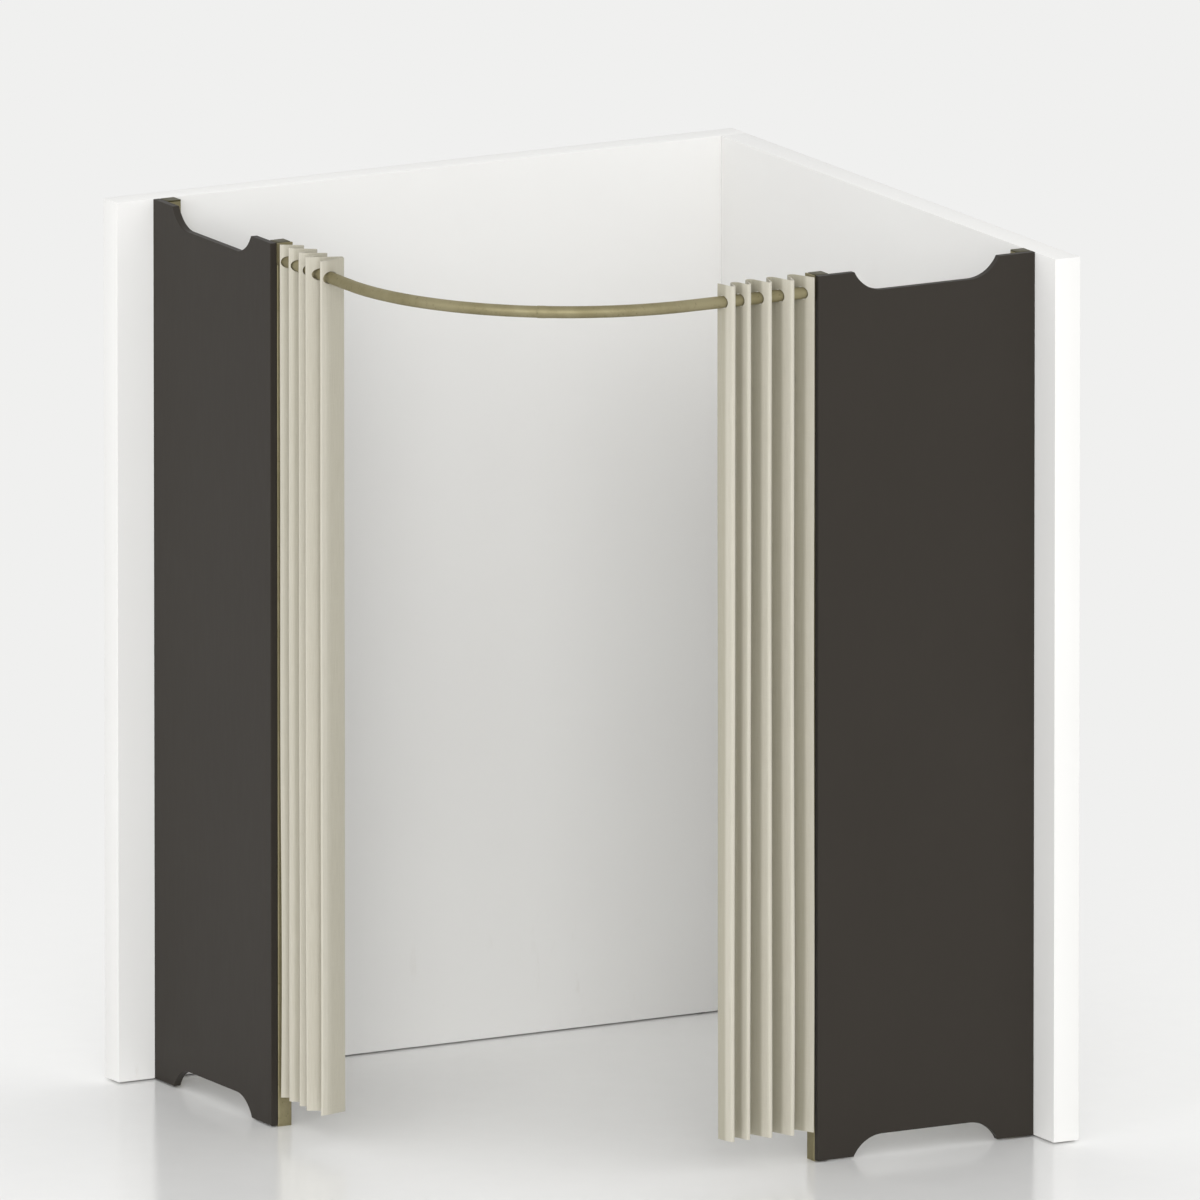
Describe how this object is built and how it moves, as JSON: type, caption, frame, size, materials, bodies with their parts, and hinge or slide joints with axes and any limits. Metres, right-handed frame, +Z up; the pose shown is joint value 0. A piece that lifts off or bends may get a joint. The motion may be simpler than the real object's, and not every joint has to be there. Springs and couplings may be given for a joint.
{
  "type": "portable fitting room",
  "caption": "Corner fitting room: two white wall slabs in an L, dark side boards, brass posts, a bent rail and two cream curtains that draw closed.",
  "frame": {"origin": "on the floor, in the middle of the square that the room covers", "axes": "+Z up, +Y towards the outside of the left wall, +X towards the outside of the right wall, the doorway towards -X and -Y"},
  "size_m": [1.75, 1.75, 2.2],
  "materials": {
    "white_wall": "white painted board, matt",
    "wall_core": "sawn softwood",
    "dark_board": "dark warm grey coated board, matt",
    "brass": "aged olive brass, satin",
    "cloth": "cream woven cloth",
    "steel": "zinc plated",
    "rubber": "black, dull"
  },
  "bodies": {
    "room": {"left_wall_frame": "wall_core", "left_wall_inner_board": "white_wall", "left_wall_outer_board": "white_wall", "left_wall_top_cap": "white_wall", "left_wall_end_cap": "white_wall", "left_wall_glide_corner": "rubber", "left_wall_glide_end": "rubber", "right_wall_frame": "wall_core", "right_wall_inner_board": "white_wall", "right_wall_outer_board": "white_wall", "right_wall_top_cap": "white_wall", "right_wall_end_cap": "white_wall", "right_wall_glide_corner": "rubber", "right_wall_glide_end": "rubber", "corner_bolt_lower": "steel", "corner_bolt_upper": "steel", "left_board": "dark_board", "left_rear_post": "brass", "left_rear_post_foot": "brass", "left_rear_post_cap": "brass", "left_front_post": "brass", "left_front_post_foot": "brass", "left_front_post_cap": "brass", "left_rear_board_screw_lower": "steel", "left_rear_board_screw_upper": "steel", "left_front_board_screw_lower": "steel", "left_front_board_screw_upper": "steel", "left_wall_anchor_lower": "steel", "left_wall_anchor_upper": "steel", "left_rail_bracket": "brass", "left_bracket_screw": "brass", "left_rail": "brass", "rail_join_sleeve": "steel", "left_curtain_pleat_1": "cloth", "right_board": "dark_board", "right_rear_post": "brass", "right_rear_post_foot": "brass", "right_rear_post_cap": "brass", "right_front_post": "brass", "right_front_post_foot": "brass", "right_front_post_cap": "brass", "right_rear_board_screw_lower": "steel", "right_rear_board_screw_upper": "steel", "right_front_board_screw_lower": "steel", "right_front_board_screw_upper": "steel", "right_wall_anchor_lower": "steel", "right_wall_anchor_upper": "steel", "right_rail_bracket": "brass", "right_bracket_screw": "brass", "right_rail": "brass", "right_curtain_pleat_1": "cloth"},
    "left_fold_2": {"left_curtain_pleat_2": "cloth"},
    "left_fold_3": {"left_curtain_pleat_3": "cloth"},
    "left_fold_4": {"left_curtain_pleat_4": "cloth"},
    "left_fold_5": {"left_curtain_pleat_5": "cloth"},
    "right_fold_2": {"right_curtain_pleat_2": "cloth"},
    "right_fold_3": {"right_curtain_pleat_3": "cloth"},
    "right_fold_4": {"right_curtain_pleat_4": "cloth"},
    "right_fold_5": {"right_curtain_pleat_5": "cloth"}
  },
  "joints": [
    {"name": "left_draw_2", "type": "slide", "parent": "room", "child": "left_fold_2", "axis": [0, -1, 0], "range_m": [0, 0.136], "deforming": ["left_curtain_pleat_2"]},
    {"name": "left_draw_3", "type": "hinge", "parent": "left_fold_2", "child": "left_fold_3", "pos_m": [1.30841, 0.055, 0], "axis": [0, 0, 1], "range_deg": [0, 4.29], "deforming": ["left_curtain_pleat_3"]},
    {"name": "left_draw_4", "type": "hinge", "parent": "left_fold_3", "child": "left_fold_4", "pos_m": [-0.308, 0.0785, 0], "axis": [0, 0, 1], "range_deg": [0, 20], "deforming": ["left_curtain_pleat_4"]},
    {"name": "left_draw_5", "type": "hinge", "parent": "left_fold_4", "child": "left_fold_5", "pos_m": [-0.323, 0.0155, 0], "axis": [0, 0, 1], "range_deg": [0, 19.62], "deforming": ["left_curtain_pleat_5"]},
    {"name": "right_draw_2", "type": "slide", "parent": "room", "child": "right_fold_2", "axis": [-1, 0, 0], "range_m": [0, 0.162], "deforming": ["right_curtain_pleat_2"]},
    {"name": "right_draw_3", "type": "hinge", "parent": "right_fold_2", "child": "right_fold_3", "pos_m": [0.033, -0.07503, 0], "axis": [0, 0, -1], "range_deg": [0, 11.43], "deforming": ["right_curtain_pleat_3"]},
    {"name": "right_draw_4", "type": "hinge", "parent": "right_fold_3", "child": "right_fold_4", "pos_m": [0.0165, -0.2843, 0], "axis": [0, 0, -1], "range_deg": [0, 17.14], "deforming": ["right_curtain_pleat_4"]},
    {"name": "right_draw_5", "type": "hinge", "parent": "right_fold_4", "child": "right_fold_5", "pos_m": [-0.0215, -0.25089, 0], "axis": [0, 0, -1], "range_deg": [0, 15.24], "deforming": ["right_curtain_pleat_5"]}
  ],
  "couplings": [
    {"joint": "left_draw_3", "follows": "left_draw_2", "rad_per_m": 0.54991},
    {"joint": "left_draw_4", "follows": "left_draw_2", "rad_per_m": 2.5663},
    {"joint": "left_draw_5", "follows": "left_draw_2", "rad_per_m": 2.5174},
    {"joint": "right_draw_3", "follows": "right_draw_2", "rad_per_m": 1.2311},
    {"joint": "right_draw_4", "follows": "right_draw_2", "rad_per_m": 1.8466},
    {"joint": "right_draw_5", "follows": "right_draw_2", "rad_per_m": 1.6414}
  ]
}
